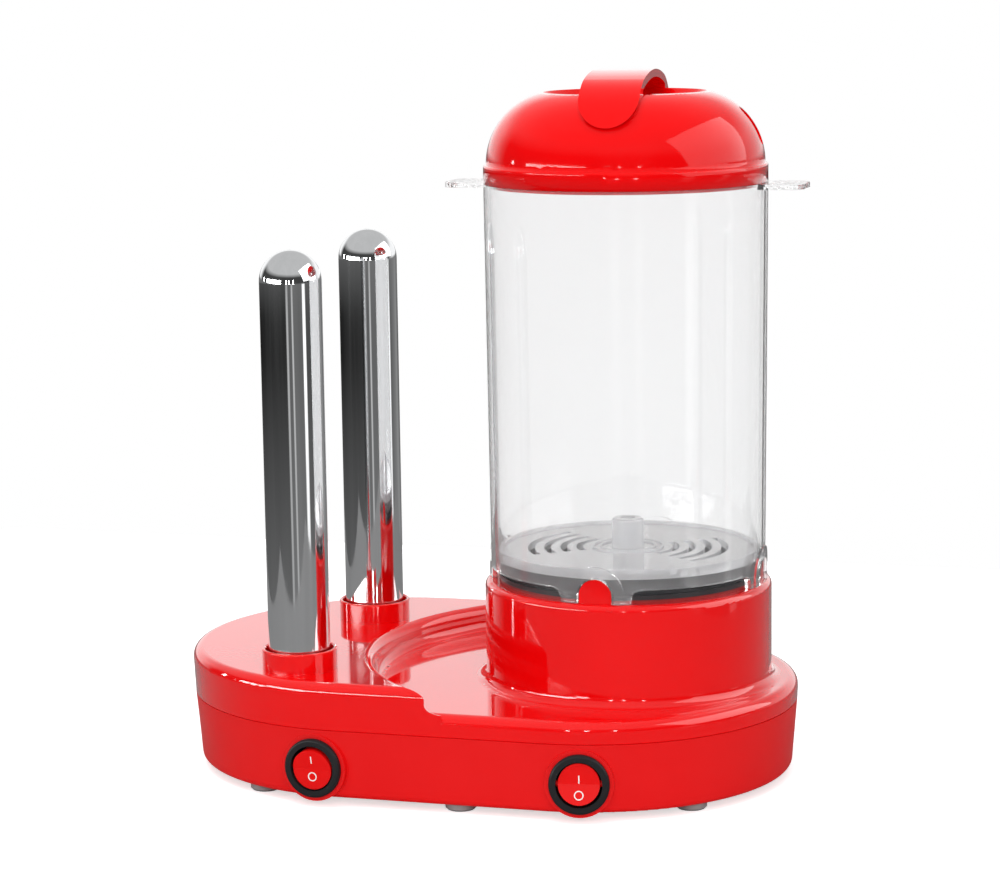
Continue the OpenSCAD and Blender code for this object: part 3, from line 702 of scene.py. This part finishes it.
@dataclass
class Studio:
    """White sweep behind the object, dark room with light strips in front, soft lamps and floor.

    Bearings are in degrees from the front towards the right. Rises are the upward parts of a direction.
    """

    ambient: float = 0.50
    floor_reach: float = 0.42
    floor_colour: float = 0.82
    floor_glow: float = 0.62
    floor_mirrored: float = 0.26
    ceiling: float = 0.60
    ceiling_rise: Span = (0.30, 0.50)
    horizon_rise: Span = (-0.03, 0.02)
    table_grey: float = 0.30
    table_rise: Span = (-0.13, -0.26)
    hall_grey: float = 0.24
    hall_rise: Span = (-0.115, -0.085)
    veil: float = 0.7
    strips: Levels = (
        (-180, 0.03), (-120, 0.015), (-66, 0.03), (-60, 0.02), (0, 0.03), (3, 0.55), (7, 0.55), (10, 0.12),
        (20, 0.14), (22, 0.65), (25, 0.65), (28, 0.16), (61, 0.14), (64, 1.6), (72, 1.6), (75, 0.08),
        (101, 0.08), (103, 1.4), (108, 1.4), (111, 0.12), (140, 0.22), (150, 0.30), (180, 0.12),
    )
    backdrop: Levels = ((-180, 1.12), (-125, 1.12), (-105, 0.06), (110, 0.06), (135, 1.12), (180, 1.12))
    aim_point: Vector = Vector((0, 0, 0.12))
    lamps: tuple[SoftLamp, ...] = (
        SoftLamp("top_softbox", -35, 80, 1.2, (1.2, 1.0), 2.4, LampRole.LIGHTING),
        SoftLamp("front_fill", 17, 25, 1.85, (1.4, 1.0), 2.9, LampRole.LIGHTING),
        SoftLamp("side_softbox", 97, 29, 1.2, (1.5, 0.95), 2.6, LampRole.MIRRORED),
        SoftLamp("front_strip", -45, 6.4, 1.4, (1.5, 0.16), 18.0, LampRole.MIRRORED),
    )
    spot: SoftLamp = SoftLamp("front_spot", 0, 6.4, 1.4, (0.05, 0.16), 30.0, LampRole.MIRRORED)
    spot_bearings: tuple[float, ...] = (-90, 2, 12, 27)

    def ring_light(self, graph: Graph, place: Socket, levels: Levels) -> Socket:
        """Makes the light that comes from all round at one height.

        Args:
            graph: The world's node graph.
            place: Socket with the bearing, 0 to 1 round the object.
            levels: Bearings, each with its level.

        Returns:
            The socket with the light's colour.
        """
        ramp = graph.add("ValToRGB", {"Fac": place})
        stops = ramp.color_ramp.elements
        stops[0].position, stops[1].position = 0.0, 1.0
        for degrees, level in levels:
            where = degrees / 360 + 0.5
            stop = next((s for s in stops if math.isclose(s.position, where)), None) or stops.new(where)
            stop.color = grey(level)
        return ramp.outputs["Color"]

    def layer(self, graph: Graph, share: Socket, under: Socket, over: Socket | float) -> Socket:
        """Lays one light over another.

        Args:
            graph: The world's node graph.
            share: Socket with the share of the upper light.
            under: Socket with the lower light.
            over: Socket with the upper light, or its level.

        Returns:
            The socket with the mixed light.
        """
        upper = grey(over) if isinstance(over, float) else over
        return graph.add("Mix", {0: share, 6: under, 7: upper}, data_type="RGBA").outputs[2]

    def build_world(self) -> None:
        """Makes the world: white to the eye and through glass, a studio to gloss, even light to the rest."""
        world = bpy.data.worlds.new("studio")
        bpy.context.scene.world = world
        world.use_nodes = True
        graph = Graph(world.node_tree)
        way = graph.add("SeparateXYZ", {"Vector": graph.add("TexCoord").outputs["Generated"]}).outputs
        angle = graph.math("ARCTAN2", way["X"], graph.math("MULTIPLY", way["Y"], -1.0))
        place = graph.ramp(angle, (-math.pi, math.pi))
        table = graph.ramp(way["Z"], self.table_rise, self.veil)
        hall = graph.ramp(way["Z"], self.hall_rise, self.veil)
        level = graph.ramp(way["Z"], self.horizon_rise)
        high = graph.ramp(way["Z"], self.ceiling_rise)
        room = self.layer(graph, hall, self.ring_light(graph, place, self.strips), self.hall_grey)
        room = self.layer(graph, table, room, self.table_grey)
        room = self.layer(graph, level, room, self.ring_light(graph, place, self.backdrop))
        room = self.layer(graph, high, room, self.ceiling)
        rays = graph.add("LightPath").outputs
        even = self.layer(graph, rays["Is Diffuse Ray"], room, self.ambient)
        seen = self.layer(graph, graph.seen_plainly(), even, 1.0)
        back = graph.add("Background", {"Color": seen, "Strength": 1.0})
        graph.add("OutputWorld", {"Surface": back.outputs["Background"]})

    def floor_material(self) -> bpy.types.Material:
        """Makes the floor's finish: glowing for the eye and through glass, dim in mirrors, shadowed.

        Returns:
            The new material.
        """
        material = bpy.data.materials.new("floor_white")
        material.use_nodes = True
        graph = Graph(material.node_tree)
        level = graph.math("MULTIPLY", graph.seen_plainly(), self.floor_glow)
        glow = graph.add("Emission", {"Strength": level}).outputs["Emission"]
        matt = graph.add("BsdfDiffuse", {"Color": grey(self.floor_colour)}).outputs["BSDF"]
        lit = graph.add("AddShader", {0: glow, 1: matt}).outputs["Shader"]
        dim = graph.add("BsdfDiffuse", {"Color": grey(self.floor_mirrored)}).outputs["BSDF"]
        mirrored = graph.add("LightPath").outputs["Is Glossy Ray"]
        total = graph.add("MixShader", {0: mirrored, 1: lit, 2: dim}).outputs["Shader"]
        graph.add("OutputMaterial", {"Surface": total})
        return material

    def build_floor(self) -> None:
        """Lays the pale floor under the object."""
        mesh = bmesh.new()
        bmesh.ops.create_grid(mesh, x_segments=1, y_segments=1, size=self.floor_reach)
        data = bpy.data.meshes.new("floor")
        mesh.to_mesh(data)
        mesh.free()
        data.materials.append(self.floor_material())
        floor = bpy.data.objects.new("floor", data)
        bpy.context.scene.collection.objects.link(floor)

    def build(self) -> None:
        """Sets up the world, the floor and the lamps."""
        self.build_world()
        self.build_floor()
        spots = (
            replace(self.spot, name=f"{self.spot.name}_{number}", bearing=bearing)
            for number, bearing in enumerate(self.spot_bearings)
        )
        for lamp in (*self.lamps, *spots):
            lamp.hang(self.aim_point)
        bpy.context.scene.view_settings.view_transform = "Standard"


def main() -> None:
    """Loads the frame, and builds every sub-assembly and the studio."""
    logging.basicConfig(level=logging.INFO, format="%(message)s")
    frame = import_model()
    PhotoCamera().build()
    parts = (frame["nodes"], Finishes())
    groups: tuple[SubAssembly, ...] = (
        BaseHousing(*parts),
        SteamDrum(*parts),
        BunSpikes(*parts),
        SteamTube(*parts),
        RockerSwitch(*parts, side=Side.LEFT, title="bun"),
        RockerSwitch(*parts, side=Side.RIGHT, title="steam", turn=10.4, tilt=-7.0, line_at=1.8, ring_at=-4.2),
    )
    for group in groups:
        group.dress()
        group.build()
    Studio().build()


if __name__ == "__main__":
    main()
